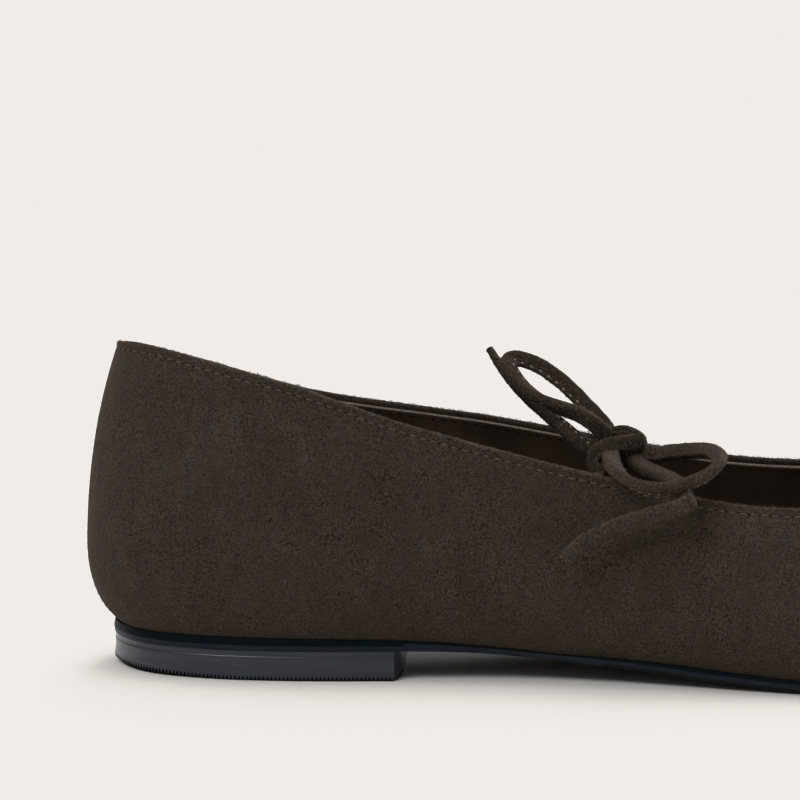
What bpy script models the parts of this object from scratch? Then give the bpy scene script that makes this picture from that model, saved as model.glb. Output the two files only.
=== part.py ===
"""Ballet flat for the left foot, with a thin leather sole, a low heel block and a small lace bow.

Metres, +Z up. X runs from the heel to the toe, -Y is the inner side of the foot, and the shoe
stands on Z = 0. The last is drawn with X = 0 at the back of the heel, and each piece is then
placed so that the origin lies under the middle of the heel block.
"""

import math
from collections import namedtuple

import bmesh
import bpy
from mathutils import Vector

# The last
LAST_LENGTH = 0.250
BALL_WIDTH = 0.082
BACK_HEIGHT = 0.0573
LAST_EDGE_ANGLE = math.radians(65)

# Upper
UPPER_WALL = 0.0018

# Sole, heel and insole
SOLE_THICKNESS = 0.0025
SOLE_PROUD = 0.0004
SOLE_BEVEL = 0.0010
TOE_SPRING = 0.0040
HEEL_HEIGHT = 0.0062
HEEL_LENGTH = 0.0631
HEEL_REST = 0.0307
HEEL_TUCK = 0.0010
BREAST_LEAN = 0.0014
BREAST_CORNER = 0.0013
INSOLE_THICKNESS = 0.0020

# Lace
LACE_DIAMETER = 0.0024
KNOT_SIZE = (0.0092, 0.0072, 0.0064)
KNOT_CENTRE = (0.1074, -0.0080, 0.0460)

# Clearance between pieces that touch
GAP = 0.0003

# Where the forepart's flat tread begins and ends, as shares of the last's length
TREAD_START = 0.632
TREAD_END = 0.752

# Fineness
COLUMNS_PER_SECTION = 3
EDGE_STEPS = 4
SIDE_STEPS = 8
BREAST_STEPS = 10
LACE_STEP = 1.1

MM = 0.001

# Sections round the last, from the back of the heel along the inner side to the toe and back.
# X is a share of the last's length, Y of its ball width and Z of its back height above the sole.
# belly: the widest line. rim: the top edge. tuck: how far the edge of the sole lies inside the
# belly. shoulder: the share of the way up at which the side leans in.
Section = namedtuple("Section", "belly_x belly_y belly_z rim_x rim_y rim_z tuck shoulder")

SECTIONS = (
    Section(0.000, 0.000, 0.262, 0.026, 0.000, 0.985, 0.070, 0.54),
    Section(0.014, -0.152, 0.262, 0.034, -0.093, 1.008, 0.070, 0.54),
    Section(0.048, -0.262, 0.262, 0.058, -0.159, 1.005, 0.066, 0.54),
    Section(0.108, -0.329, 0.255, 0.112, -0.237, 0.956, 0.061, 0.54),
    Section(0.180, -0.352, 0.248, 0.180, -0.290, 0.885, 0.061, 0.54),
    Section(0.260, -0.349, 0.230, 0.260, -0.317, 0.770, 0.067, 0.55),
    Section(0.348, -0.351, 0.213, 0.348, -0.329, 0.685, 0.073, 0.55),
    Section(0.440, -0.390, 0.213, 0.440, -0.346, 0.628, 0.067, 0.55),
    Section(0.528, -0.451, 0.202, 0.524, -0.380, 0.595, 0.055, 0.55),
    Section(0.608, -0.498, 0.184, 0.600, -0.383, 0.599, 0.043, 0.55),
    Section(0.688, -0.510, 0.168, 0.660, -0.323, 0.602, 0.037, 0.52),
    Section(0.772, -0.483, 0.158, 0.694, -0.232, 0.611, 0.032, 0.50),
    Section(0.852, -0.412, 0.147, 0.710, -0.146, 0.619, 0.029, 0.48),
    Section(0.930, -0.316, 0.130, 0.717, -0.078, 0.622, 0.028, 0.46),
    Section(0.982, -0.190, 0.118, 0.720, -0.034, 0.622, 0.028, 0.45),
    Section(1.000, -0.049, 0.114, 0.721, 0.000, 0.622, 0.028, 0.45),
    Section(0.987, 0.094, 0.114, 0.720, 0.034, 0.622, 0.028, 0.45),
    Section(0.943, 0.242, 0.124, 0.717, 0.078, 0.622, 0.028, 0.46),
    Section(0.864, 0.363, 0.144, 0.710, 0.146, 0.619, 0.029, 0.48),
    Section(0.778, 0.454, 0.158, 0.694, 0.232, 0.610, 0.032, 0.50),
    Section(0.688, 0.490, 0.168, 0.658, 0.323, 0.599, 0.037, 0.52),
    Section(0.600, 0.488, 0.183, 0.596, 0.388, 0.583, 0.044, 0.55),
    Section(0.512, 0.461, 0.196, 0.516, 0.394, 0.578, 0.054, 0.55),
    Section(0.428, 0.427, 0.208, 0.432, 0.370, 0.603, 0.061, 0.55),
    Section(0.344, 0.393, 0.212, 0.344, 0.344, 0.641, 0.066, 0.55),
    Section(0.260, 0.370, 0.230, 0.260, 0.320, 0.687, 0.063, 0.55),
    Section(0.180, 0.359, 0.248, 0.180, 0.290, 0.754, 0.061, 0.54),
    Section(0.108, 0.332, 0.255, 0.112, 0.237, 0.847, 0.063, 0.54),
    Section(0.048, 0.262, 0.262, 0.058, 0.159, 0.930, 0.066, 0.54),
    Section(0.014, 0.152, 0.262, 0.034, 0.093, 0.962, 0.070, 0.54),
)

# The lace where it crosses the throat, in millimetres, between the two walls.
TIE_ENDS = ((103.4, 41.0), (109.4, 39.2))
TIE_ROUTE = (
    (104.0, -21.0, 41.3), (105.2, -14.0, 41.2), (106.6, -8.0, 40.8),
    (107.6, 0.0, 40.2), (108.5, 12.0, 39.5), (109.1, 22.0, 39.2),
)

# The bow, in millimetres. Each route starts at the knot, and a loop's route comes back to it.
BOW_LOOPS = {
    "bow_loop_front": (
        (106.4, -13.0, 45.2), (106.5, -20.0, 45.2), (107.0, -27.0, 45.0), (108.2, -31.5, 44.1),
        (110.0, -33.6, 43.0), (112.6, -34.8, 42.1), (115.7, -35.4, 41.7), (118.9, -35.9, 42.0),
        (122.1, -36.0, 42.9), (125.3, -35.0, 44.1), (127.5, -32.0, 45.3), (128.4, -27.5, 46.1),
        (127.7, -22.5, 46.7), (125.6, -18.0, 46.6), (122.3, -14.5, 46.0), (118.7, -12.0, 45.3),
        (115.4, -10.4, 44.5),
    ),
    "bow_loop_back": (
        (105.2, -1.8, 48.7), (103.4, -0.4, 50.5), (100.9, 1.6, 52.8), (98.2, 3.4, 55.2),
        (95.3, 5.0, 57.5), (92.3, 6.0, 59.5), (89.2, 6.4, 60.8), (86.6, 5.6, 61.5),
        (85.2, 4.0, 61.0), (85.7, 1.8, 59.5), (87.6, -0.4, 57.3), (90.2, -2.4, 55.4),
        (93.5, -4.2, 54.0), (97.0, -5.8, 52.9), (100.3, -7.4, 51.9), (102.9, -8.8, 50.4),
    ),
}
BOW_ENDS = {
    "bow_end_front": (
        (112.9, -14.6, 42.6), (114.7, -19.0, 42.5), (117.0, -23.5, 42.3), (119.5, -28.0, 41.9),
        (121.3, -31.6, 41.1), (122.7, -33.9, 40.3), (123.7, -36.4, 39.7), (123.8, -38.6, 39.3),
        (122.5, -39.4, 38.9), (120.2, -38.8, 38.4), (117.4, -37.8, 37.5), (113.4, -36.9, 36.1),
        (109.0, -36.4, 34.5), (105.0, -36.0, 32.7), (101.8, -35.8, 31.0), (99.4, -35.8, 29.0),
        (98.1, -35.8, 27.0),
    ),
    "bow_end_back": (
        (102.1, -6.6, 45.1), (99.6, -4.4, 46.4), (96.3, -1.2, 48.5), (93.0, 1.8, 50.9),
        (89.5, 4.6, 53.3), (86.0, 7.2, 56.4), (83.5, 9.0, 59.4), (81.2, 10.4, 62.8),
    ),
}

# Colour, roughness
FINISHES = {
    "upper": ((0.036, 0.026, 0.020), 0.95),
    "outsole": ((0.012, 0.015, 0.018), 0.45),
    "heel": ((0.020, 0.026, 0.034), 0.40),
    "insole": ((0.026, 0.014, 0.009), 0.60),
    "lace": ((0.045, 0.033, 0.026), 0.90),
}


def clear_scene():
    for item in list(bpy.data.objects):
        bpy.data.objects.remove(item)


def finish(name):
    colour, roughness = FINISHES[name]
    material = bpy.data.materials.get(name) or bpy.data.materials.new(name)
    material.use_nodes = True
    shader = material.node_tree.nodes["Principled BSDF"]
    shader.inputs["Base Color"].default_value = (*colour, 1.0)
    shader.inputs["Roughness"].default_value = roughness
    shader.inputs["Metallic"].default_value = 0.0
    return material


def ease(share):
    """Smooth step from 0 to 1."""
    share = min(max(share, 0.0), 1.0)
    return share * share * (3.0 - 2.0 * share)


def tread_height(x):
    """Height of the sole's underside above the floor: seat, waist, flat tread, toe spring."""
    tread_start = TREAD_START * LAST_LENGTH
    tread_end = TREAD_END * LAST_LENGTH
    drop = ease((x - HEEL_LENGTH) / (tread_start - HEEL_LENGTH))
    spring = max(x - tread_end, 0.0) / (LAST_LENGTH - tread_end)
    return HEEL_HEIGHT * (1.0 - drop) + TOE_SPRING * spring ** 2


def seat_height(x):
    """Height at which what stands on the sole begins."""
    return tread_height(x) + SOLE_THICKNESS + GAP


def curve_through(before, start, end, after, share):
    """Point of the smooth curve between start and end, for plain numbers or vectors."""
    pull_in = (end - before) * 0.5
    pull_out = (after - start) * 0.5
    square = share * share
    cube = square * share
    return (start * (2 * cube - 3 * square + 1) + pull_in * (cube - 2 * square + share)
            + end * (3 * square - 2 * cube) + pull_out * (cube - square))


def sections_between():
    """The hand-chosen sections with smooth ones between them, once round the last."""
    total = len(SECTIONS)
    smooth = []
    for index in range(total):
        near = [SECTIONS[(index + shift) % total] for shift in (-1, 0, 1, 2)]
        for step in range(COLUMNS_PER_SECTION):
            share = step / COLUMNS_PER_SECTION
            smooth.append(Section(*(curve_through(*values, share) for values in zip(*near))))
    return smooth


def plan_point(x_share, y_share):
    return Vector((x_share * LAST_LENGTH, y_share * BALL_WIDTH, 0.0))


def outward(points):
    """Level unit vectors that point out of a closed ring, one for each point."""
    total = len(points)
    vectors = []
    for index in range(total):
        along = points[(index + 1) % total] - points[index - 1]
        vectors.append(Vector((-along.y, along.x, 0.0)).normalized() * -1.0)
    return vectors


def raised(point, height):
    return Vector((point.x, point.y, height))


def last_columns():
    """The outer surface of the upper as columns of points, from the sole's edge to the rim."""
    sections = sections_between()
    bellies = [plan_point(section.belly_x, section.belly_y) for section in sections]
    columns = []
    for section, belly, out in zip(sections, bellies, outward(bellies)):
        rim = plan_point(section.rim_x, section.rim_y)
        edge = belly - out * section.tuck * BALL_WIDTH
        edge_z = seat_height(edge.x)
        belly_z = seat_height(belly.x) + section.belly_z * BACK_HEIGHT
        rim_z = seat_height(rim.x) + section.rim_z * BACK_HEIGHT
        column = []
        for step in range(EDGE_STEPS):
            angle = LAST_EDGE_ANGLE * (1.0 - step / EDGE_STEPS)
            inset = (1.0 - math.cos(angle)) / (1.0 - math.cos(LAST_EDGE_ANGLE))
            depth = math.sin(angle) / math.sin(LAST_EDGE_ANGLE)
            height = belly_z + (edge_z - belly_z) * depth
            column.append(raised(belly.lerp(edge, inset), height))
        shoulder_z = belly_z + (rim_z - belly_z) * section.shoulder
        for step in range(SIDE_STEPS + 1):
            share = step / SIDE_STEPS
            lean = share * share
            height = ((1.0 - share) ** 2 * belly_z + 2.0 * share * (1.0 - share) * shoulder_z
                      + lean * rim_z)
            column.append(raised(belly.lerp(rim, lean), height))
        columns.append(column)
    return columns


def inward_normals(columns):
    """Unit vectors that point into the shoe, one for each point of the columns."""
    total = len(columns)
    rows = len(columns[0])
    normals = []
    for index, column in enumerate(columns):
        following = columns[(index + 1) % total]
        previous = columns[index - 1]
        normal_column = []
        for row in range(rows):
            along = following[row] - previous[row]
            up = column[min(row + 1, rows - 1)] - column[max(row - 1, 0)]
            normal_column.append(up.cross(along).normalized())
        normals.append(normal_column)
    return normals


def inner_columns(columns, normals, depth):
    """The outer surface moved in by a depth, and run on down to the top of the sole."""
    inner = []
    for column, normal_column in zip(columns, normals):
        moved = [point + normal * depth for point, normal in zip(column, normal_column)]
        slope = moved[1] - moved[0]
        foot = moved[0] - slope * ((moved[0].z - column[0].z) / slope.z)
        inner.append([raised(foot, seat_height(foot.x))] + moved)
    return inner


def point_at_height(column, height):
    """Point of a column at a height above the floor."""
    for low, high in zip(column, column[1:]):
        if high.z >= height:
            return low.lerp(high, (height - low.z) / (high.z - low.z))
    return column[-1].copy()


def wall_at(inner, x, height, side):
    """Y of an inner surface at x and a height, on the side whose Y has that sign."""
    ring = [point_at_height(column, height) for column in inner]
    for start, end in zip(ring, ring[1:] + ring[:1]):
        crosses = (start.x - x) * (end.x - x) <= 0.0 and start.x != end.x
        if crosses and start.y * side > 0.0:
            return start.lerp(end, (x - start.x) / (end.x - start.x)).y
    return side * BALL_WIDTH / 2.0


def new_object(name, mesh, finish_name):
    item = bpy.data.objects.new(name, mesh)
    item.location.x = -HEEL_REST
    bpy.context.scene.collection.objects.link(item)
    mesh.materials.append(finish(finish_name))
    return item


def mesh_from_rings(name, finish_name, rings, caps):
    """A solid from rings of points: joined in order, and closed by the caps given.

    caps is "ladder" for faces from side to side across the first and last ring, "flat" for one
    level face on each, or "loop" to join the last ring to the first.
    """
    shape = bmesh.new()
    loops = [[shape.verts.new(point) for point in ring] for ring in rings]
    total = len(rings[0])
    pairs = list(zip(loops, loops[1:]))
    if caps == "loop":
        pairs.append((loops[-1], loops[0]))
    for low, high in pairs:
        for index in range(total):
            after = (index + 1) % total
            shape.faces.new((low[index], low[after], high[after], high[index]))
    if caps == "flat":
        shape.faces.new(loops[0])
        shape.faces.new(loops[-1])
    if caps == "ladder":
        for loop in (loops[0], loops[-1]):
            for index in range(total // 2):
                corners = [loop[index], loop[index + 1], loop[-index - 1], loop[-index]]
                unique = [v for place, v in enumerate(corners) if v not in corners[:place]]
                if len(unique) > 2:
                    shape.faces.new(unique)
    bmesh.ops.triangulate(shape, faces=[face for face in shape.faces if len(face.verts) > 3])
    bmesh.ops.recalc_face_normals(shape, faces=shape.faces)
    mesh = bpy.data.meshes.new(name)
    shape.to_mesh(mesh)
    shape.free()
    item = new_object(name, mesh, finish_name)
    mesh.shade_smooth()
    mesh.set_sharp_from_angle(angle=math.radians(40))
    return item


def rings_of(columns):
    return [list(ring) for ring in zip(*columns)]


def make_upper(columns, normals):
    """One wall round the foot, open at the collar and throat and underneath."""
    inner = inner_columns(columns, normals, UPPER_WALL)
    rings = rings_of(columns) + rings_of(inner)[::-1]
    return mesh_from_rings("upper", "upper", rings, "loop")


def make_insole(columns, normals):
    """A board that fills the bottom of the shoe, with its edge cut along the wall."""
    inner = inner_columns(columns, normals, UPPER_WALL + GAP)
    bottom = [column[0] for column in inner]
    top = [point_at_height(column, column[0].z + INSOLE_THICKNESS) for column in inner]
    return mesh_from_rings("insole", "insole", [bottom, top], "ladder")


def sole_outline(columns):
    edge = [raised(column[0], 0.0) for column in columns]
    return [point + out * SOLE_PROUD for point, out in zip(edge, outward(edge))]


def inset_ring(ring, depth):
    return [point - out * depth for point, out in zip(ring, outward(ring))]


def make_outsole(outline):
    """The sole, thin and even, with its lower edge broken."""
    tread = inset_ring(outline, SOLE_BEVEL)
    rings = [
        [raised(point, tread_height(point.x)) for point in tread],
        [raised(point, tread_height(point.x) + SOLE_BEVEL) for point in outline],
        [raised(point, tread_height(point.x) + SOLE_THICKNESS) for point in outline],
    ]
    return mesh_from_rings("outsole", "outsole", rings, "ladder")


def breast_corner(ring, x, side):
    """Where a ring crosses x on one side."""
    for start, end in zip(ring, ring[1:] + ring[:1]):
        if (start.x - x) * (end.x - x) <= 0.0 and start.x != end.x and start.y * side > 0.0:
            return start.lerp(end, (x - start.x) / (end.x - start.x))
    raise ValueError("the heel is longer than the sole")


def make_heel(outline):
    """The heel block: its back follows the sole, its breast leans forward between cut corners."""
    half = len(outline) // 2
    last_inner = max(index for index in range(half) if outline[index].x < HEEL_LENGTH)
    first_outer = min(index for index in range(half, len(outline))
                      if outline[index].x < HEEL_LENGTH)
    top = HEEL_HEIGHT - GAP
    rings = []
    for share, tuck_share in ((0.0, 0.0), (0.15, 0.35), (0.5, 0.8), (1.0, 1.0)):
        ring = inset_ring(outline, HEEL_TUCK * tuck_share)
        inner_corner = breast_corner(ring, HEEL_LENGTH, -1)
        outer_corner = breast_corner(ring, HEEL_LENGTH, 1)
        reach = BREAST_CORNER + BREAST_LEAN * share
        around = ring[first_outer:] + ring[:last_inner + 1]
        breast = []
        for step in range(BREAST_STEPS + 1):
            across = step / BREAST_STEPS
            point = inner_corner.lerp(outer_corner, across)
            point.x += reach * (1.0 - (2.0 * across - 1.0) ** 6)
            breast.append(point)
        rings.append([raised(point, top * share) for point in around + breast])
    return mesh_from_rings("heel", "heel", rings, "flat")


def smooth_route(points):
    """Even steps along a smooth curve through the route's points."""
    padded = [points[0] * 2 - points[1]] + points + [points[-1] * 2 - points[-2]]
    fine = []
    for index in range(len(points) - 1):
        fine += [curve_through(*padded[index:index + 4], step / 20) for step in range(20)]
    fine.append(points[-1])
    lengths = [0.0]
    for start, end in zip(fine, fine[1:]):
        lengths.append(lengths[-1] + (end - start).length)
    steps = max(2, round(lengths[-1] / (LACE_STEP * LACE_DIAMETER)))
    even = []
    place = 0
    for step in range(steps + 1):
        target = lengths[-1] * step / steps
        while place < len(fine) - 2 and lengths[place + 1] < target:
            place += 1
        span = lengths[place + 1] - lengths[place]
        even.append(fine[place].lerp(fine[place + 1], (target - lengths[place]) / span))
    return even


def make_lace(name, points):
    """A round lace along a smooth route."""
    curve = bpy.data.curves.new(name, "CURVE")
    curve.dimensions = "3D"
    curve.bevel_depth = LACE_DIAMETER / 2.0
    curve.bevel_resolution = 2
    curve.use_fill_caps = True
    route = smooth_route(points)
    spline = curve.splines.new("POLY")
    spline.points.add(len(route) - 1)
    for place, point in zip(spline.points, route):
        place.co = (*point, 1.0)
    return new_object(name, curve, "lace")


def make_tie(columns, normals):
    """The lace across the throat, from the inner wall to the outer one, under the knot."""
    inner = inner_columns(columns, normals, UPPER_WALL + GAP)
    ends = []
    for (x, height), side in zip(TIE_ENDS, (-1, 1)):
        top_of_lace = height * MM + LACE_DIAMETER / 2.0
        ends.append(Vector((x * MM, wall_at(inner, x * MM, top_of_lace, side), height * MM)))
    middle = [Vector(point) * MM for point in TIE_ROUTE]
    return make_lace("tie", [ends[0]] + middle + [ends[1]])


def knot_socket(towards):
    """The point just off the knot's surface from which a lace sets out towards another."""
    away = (towards - Vector(KNOT_CENTRE)).normalized()
    reach = 1.0 / math.sqrt(sum((part / (size / 2.0)) ** 2 for part, size in zip(away, KNOT_SIZE)))
    return Vector(KNOT_CENTRE) + away * (reach + GAP)


def make_knot():
    shape = bmesh.new()
    bmesh.ops.create_uvsphere(shape, u_segments=16, v_segments=10, radius=0.5)
    bmesh.ops.scale(shape, vec=KNOT_SIZE, verts=shape.verts)
    bmesh.ops.translate(shape, vec=KNOT_CENTRE, verts=shape.verts)
    mesh = bpy.data.meshes.new("bow_knot")
    shape.to_mesh(mesh)
    shape.free()
    mesh.shade_smooth()
    return new_object("bow_knot", mesh, "lace")


def make_bow():
    make_knot()
    for name, route in {**BOW_LOOPS, **BOW_ENDS}.items():
        points = [Vector(point) * MM for point in route]
        points.insert(0, knot_socket(points[0]))
        if name in BOW_LOOPS:
            points.append(knot_socket(points[-1]))
        make_lace(name, points)


def main():
    clear_scene()
    columns = last_columns()
    normals = inward_normals(columns)
    outline = sole_outline(columns)
    make_upper(columns, normals)
    make_insole(columns, normals)
    make_outsole(outline)
    make_heel(outline)
    make_tie(columns, normals)
    make_bow()


main()
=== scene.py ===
"""Looks of a brown suede ballet flat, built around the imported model."""

import math

import bmesh
import bpy
import numpy as np
from bpy.props import FloatProperty, FloatVectorProperty, IntProperty, PointerProperty
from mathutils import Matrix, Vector, noise


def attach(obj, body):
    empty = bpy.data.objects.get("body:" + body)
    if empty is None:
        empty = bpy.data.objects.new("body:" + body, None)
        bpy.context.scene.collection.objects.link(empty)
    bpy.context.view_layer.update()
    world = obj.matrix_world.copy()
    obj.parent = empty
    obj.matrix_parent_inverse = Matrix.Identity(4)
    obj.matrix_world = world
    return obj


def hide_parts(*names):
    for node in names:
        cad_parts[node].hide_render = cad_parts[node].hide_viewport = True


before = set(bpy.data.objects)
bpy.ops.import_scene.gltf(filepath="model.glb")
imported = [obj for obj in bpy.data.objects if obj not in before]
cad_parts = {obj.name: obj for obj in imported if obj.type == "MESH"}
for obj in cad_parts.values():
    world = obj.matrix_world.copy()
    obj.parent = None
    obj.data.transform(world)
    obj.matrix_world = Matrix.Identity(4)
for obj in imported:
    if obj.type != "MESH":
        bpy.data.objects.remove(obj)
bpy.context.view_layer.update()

bl_info = {
    "name": "Suede ballet flat",
    "version": (1, 0, 0),
    "blender": (4, 5, 0),
    "location": "View3D > Sidebar > Ballet flat",
    "description": "Builds the finished pieces of a suede ballet flat round its model",
    "category": "Mesh",
}

MM = 0.001
BODY = "root"

# Where the back of the last lies along X, the reach for welding corners and the angles of edges
# that count as sharp.
HEEL_BACK = -0.0307
WELD = 0.02 * MM
SHARP_RIM = math.radians(60)
SHARP_SOLE = math.radians(30)

# The upper: how far the suede hangs over the sole's edge round one place, and the lift of its
# outer rim at places along it, both in millimetres from the back of the last.
HANG_PLACE = 93.0
HANG_BEHIND = 30.0
HANG_AHEAD = 17.0
HANG = 1.15 * MM
RIM_LIFT_PLACES = (45.0, 65.0, 80.0, 100.0, 150.0, 175.0)
RIM_LIFT = (0.0, 0.55, 0.8, 0.6, 0.6, 0.0)
RIM_LIFT_REACH = 20.0 * MM
# Its gentle unevenness, which fades out above the sole, the turn of its lower edge under the
# sole, the lining's gap to it and the roll of the lining's cut edge.
UNEVEN_SIZE = 0.018
UNEVEN_DEPTH = 0.00016
FADE_REACH = 4.0 * MM
UNDER_TURN = 0.6 * MM
LINING_GAP = 0.02 * MM
LINING_ROLL = 0.08 * MM
# Its stitches, the trough that they lie in and the needle's holes, dark bars that are painted
# shade, with the length of each as a share of the pitch and how deep it sinks in.
STITCH_RADIUS = 0.21 * MM
INSIDE_STITCH_RADIUS = 0.18 * MM
STITCH_SHARE = 0.68
STITCH_SINK = 0.05 * MM
TROUGH_WIDTH = 0.35 * MM
TROUGH_DEPTH = 0.14 * MM
HOLE_RADIUS = 0.15 * MM
HOLE_SHARE = 0.24
HOLE_SINK = 0.06 * MM

# The fibres that stand on the suede, the top edge and the laces.
FIBRE_RADIUS = 0.058 * MM
FIBRE_ROOT = 0.03 * MM
NAP_LENGTH = 0.50 * MM
FRAY_LENGTH = 0.55 * MM
FRAY_FIBRES = 9000
LACE_FIBRES = 3600
KNOT_FIBRES = 900

# The sole: the reach of its bevel, and how far from the back of the last, in millimetres, the
# painted reflection on its edge's lower half also covers the bevel.
BEVEL_REACH = 14.0 * MM
PAINTED_REFLECTION_END = 105.0

# The heel block: its lip under the sole, its dark base, partly a dark top piece and partly painted
# shade under the heel's back, which draws in and gets higher towards the back, the inset of its
# foot in millimetres, and the steps round it.
HEEL_LIP = 0.20 * MM
HEEL_TUCK_REACH = 24.0 * MM
BASE_HEIGHT = 0.15 * MM
BASE_HEIGHT_GAIN = 0.95 * MM
FOOT_INSET = 0.55
FOOT_INSET_GAIN = 0.9
EDGE_SHARE = 0.30
BREAST_STEPS = 120
STEPS_PER_TOOTH = 4

# The laces: the step along a route, the radius of a stitch and its length as a share of the
# pitch, and how far from the knot's middle a route begins, as a share of the way to its first
# point.
ROUTE_STEP = 0.45 * MM
LACE_STITCH_RADIUS = 0.26 * MM
LACE_STITCH_SHARE = 0.54
KNOT_DEPTH = 0.35

# The stage: what the camera and lights aim at, and each soft box's place, size and power.
CAMERA_TARGET = (64.4, -27.0, 57.95)
LIGHT_TARGET = (0.05, 0.0, 0.03)
SOFT_BOXES = {
    "top_softbox": ((0.0, 0.2, 3.2), (3.0, 3.0), 60.0),
    "key_softbox": ((-1.8, -3.0, 3.4), (2.2, 2.2), 105.0),
    "back_softbox": ((0.8, 3.6, 3.8), (3.0, 2.0), 57.0),
    "low_strip": ((1.3, 2.3, 0.50), (1.5, 0.3), 34.0),
}
FLOOR_REACH = 30.0
FLOOR_WHITE = (0.871, 0.838, 0.812)

# The bow's routes in millimetres, measured from the back of the last.
KNOT_CENTRE = (107.4, -8.0, 46.0)
TIE_ROUTE = (
    (104.0, -21.0, 41.3), (105.2, -14.0, 41.2), (106.6, -8.0, 40.8),
    (107.6, 0.0, 40.2), (108.5, 12.0, 39.5), (109.1, 22.0, 39.2),
)
TIE_ENDS = ((103.4, -26.0, 41.0), (109.4, 26.8, 39.2))
BOW_ROUTES = {
    "bow_loop_front": (
        (106.4, -13.0, 45.2), (106.5, -20.0, 45.2), (107.0, -27.0, 45.0), (108.2, -31.5, 44.1),
        (110.0, -33.6, 43.0), (112.6, -34.8, 42.1), (115.7, -35.4, 41.7), (118.9, -35.9, 42.0),
        (122.1, -36.0, 42.9), (125.3, -35.0, 44.1), (127.5, -32.0, 45.3), (128.4, -27.5, 46.1),
        (127.7, -22.5, 46.7), (125.6, -18.0, 46.6), (122.3, -14.5, 46.0), (118.7, -12.0, 45.3),
        (115.4, -10.4, 44.5),
    ),
    "bow_loop_back": (
        (105.2, -1.8, 48.7), (103.4, -0.4, 50.5), (100.9, 1.6, 52.8), (98.2, 3.4, 55.2),
        (95.3, 5.0, 57.5), (92.3, 6.0, 59.5), (89.2, 6.4, 60.8), (86.6, 5.6, 61.5),
        (85.2, 4.0, 61.0), (85.7, 1.8, 59.5), (87.6, -0.4, 57.3), (90.2, -2.4, 55.4),
        (93.5, -4.2, 54.0), (97.0, -5.8, 52.9), (100.3, -7.4, 51.9), (102.9, -8.8, 50.4),
    ),
    "bow_end_front": (
        (112.9, -14.6, 42.6), (114.7, -19.0, 42.5), (117.0, -23.5, 42.3), (119.2, -28.0, 41.9),
        (120.6, -31.6, 41.1), (121.5, -33.9, 40.3), (122.2, -36.4, 39.7), (122.2, -38.4, 39.2),
        (121.0, -39.1, 38.6), (119.2, -38.7, 38.0), (116.8, -37.8, 37.2), (113.4, -36.9, 36.1),
        (109.0, -36.4, 34.5), (105.0, -36.0, 32.7), (101.8, -35.8, 31.0), (99.4, -35.8, 29.0),
        (98.1, -35.8, 27.0),
    ),
    "bow_end_back": (
        (102.1, -6.6, 45.1), (99.6, -4.4, 46.4), (96.3, -1.2, 48.5), (93.0, 1.8, 50.9),
        (89.5, 4.6, 53.3), (86.0, 7.2, 56.4), (83.5, 9.0, 59.4), (81.2, 10.4, 62.8),
    ),
}
# For each route: where the lace's stitched broad side faces at shares of its length, the side of
# its cut edges, how much it narrows towards its end, its length in metres and its far end.
BOW_FACTS = {
    "bow_loop_front": (
        ((0.0, (0.0, 0.0, -1.0)), (0.14, (0.2, -0.2, -1.0)), (0.35, (0.0, -0.5, -0.9)),
         (0.58, (0.8, 0.0, -0.6)), (0.75, (0.0, 0.9, -0.5)), (1.0, (0.0, 1.0, -0.2))),
        1, 0.0, 0.079, "knot"),
    "bow_loop_back": (
        tuple((share, (0.0, -1.0, 0.25)) for share in (0.0, 0.2, 0.35, 0.45, 0.52))
        + ((0.72, (0.4, 0.1, 1.0)), (0.95, (0.0, 1.0, 0.0))),
        -1, 0.0, 0.061, "knot"),
    "bow_end_front": (
        ((0.0, (-0.1, 0.2, -1.0)), (0.38, (0.0, 0.3, -1.0)), (0.52, (-0.5, 1.0, -0.2)),
         (0.7, (0.0, 1.0, -0.1)), (1.0, (0.0, 1.0, -0.2))),
        1, 0.0, 0.060, "bare"),
    "bow_end_back": (
        ((0.0, (0.0, -1.0, 0.2)), (0.4, (0.2, -1.0, 0.4)), (1.0, (1.0, -0.2, 1.0))),
        1, 0.45, 0.036, "bare"),
}
# The windings of the knot, in millimetres as the routes are.
KNOT_WRAPS = {
    "front_band": (
        (104.5, -17.5, 41.2), (103.4, -16.0, 42.6), (103.1, -15.2, 44.3), (104.0, -15.2, 45.9),
        (105.7, -15.0, 46.9), (107.8, -14.2, 47.3), (110.0, -12.6, 47.3), (111.8, -9.6, 47.0),
        (112.5, -5.6, 46.0), (111.5, -2.6, 44.7),
    ),
    "back_band": (
        (104.8, -2.5, 44.7), (105.9, -4.2, 46.8), (107.9, -6.6, 48.2), (110.2, -8.6, 48.7),
        (112.0, -9.2, 47.8), (112.3, -9.4, 46.2), (110.8, -10.0, 45.1), (108.6, -10.6, 44.4),
    ),
    "core": (
        (104.1, -9.5, 42.7), (105.5, -9.0, 43.5), (107.3, -8.2, 43.9), (109.4, -7.6, 43.9),
        (111.2, -7.6, 43.7),
    ),
    "under": (
        (104.9, -7.0, 41.1), (106.6, -8.5, 42.2), (108.6, -10.0, 42.8), (110.6, -10.4, 43.3),
        (112.2, -9.5, 44.0),
    ),
}
# Outline of the folded lace in shares of its width and thickness: fold left, cut edges right.
LACE_OUTLINE = (
    (-0.50, 0.0), (-0.46, 0.30), (-0.36, 0.46), (-0.15, 0.50), (0.10, 0.48), (0.30, 0.41),
    (0.42, 0.46), (0.49, 0.36), (0.50, 0.14), (0.41, 0.02), (0.41, -0.02), (0.50, -0.14),
    (0.49, -0.36), (0.42, -0.46), (0.30, -0.41), (0.10, -0.48), (-0.15, -0.50), (-0.36, -0.46),
    (-0.46, -0.30),
)


def colour_setting(name, description, default):
    """A setting that is a colour."""
    return FloatVectorProperty(name=name, description=description, default=default,
                               subtype="COLOR", size=3, min=0.0, max=1.0)


def length_setting(name, description, default):
    """A setting that is a length in metres."""
    return FloatProperty(name=name, description=description, default=default, unit="LENGTH")


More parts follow.
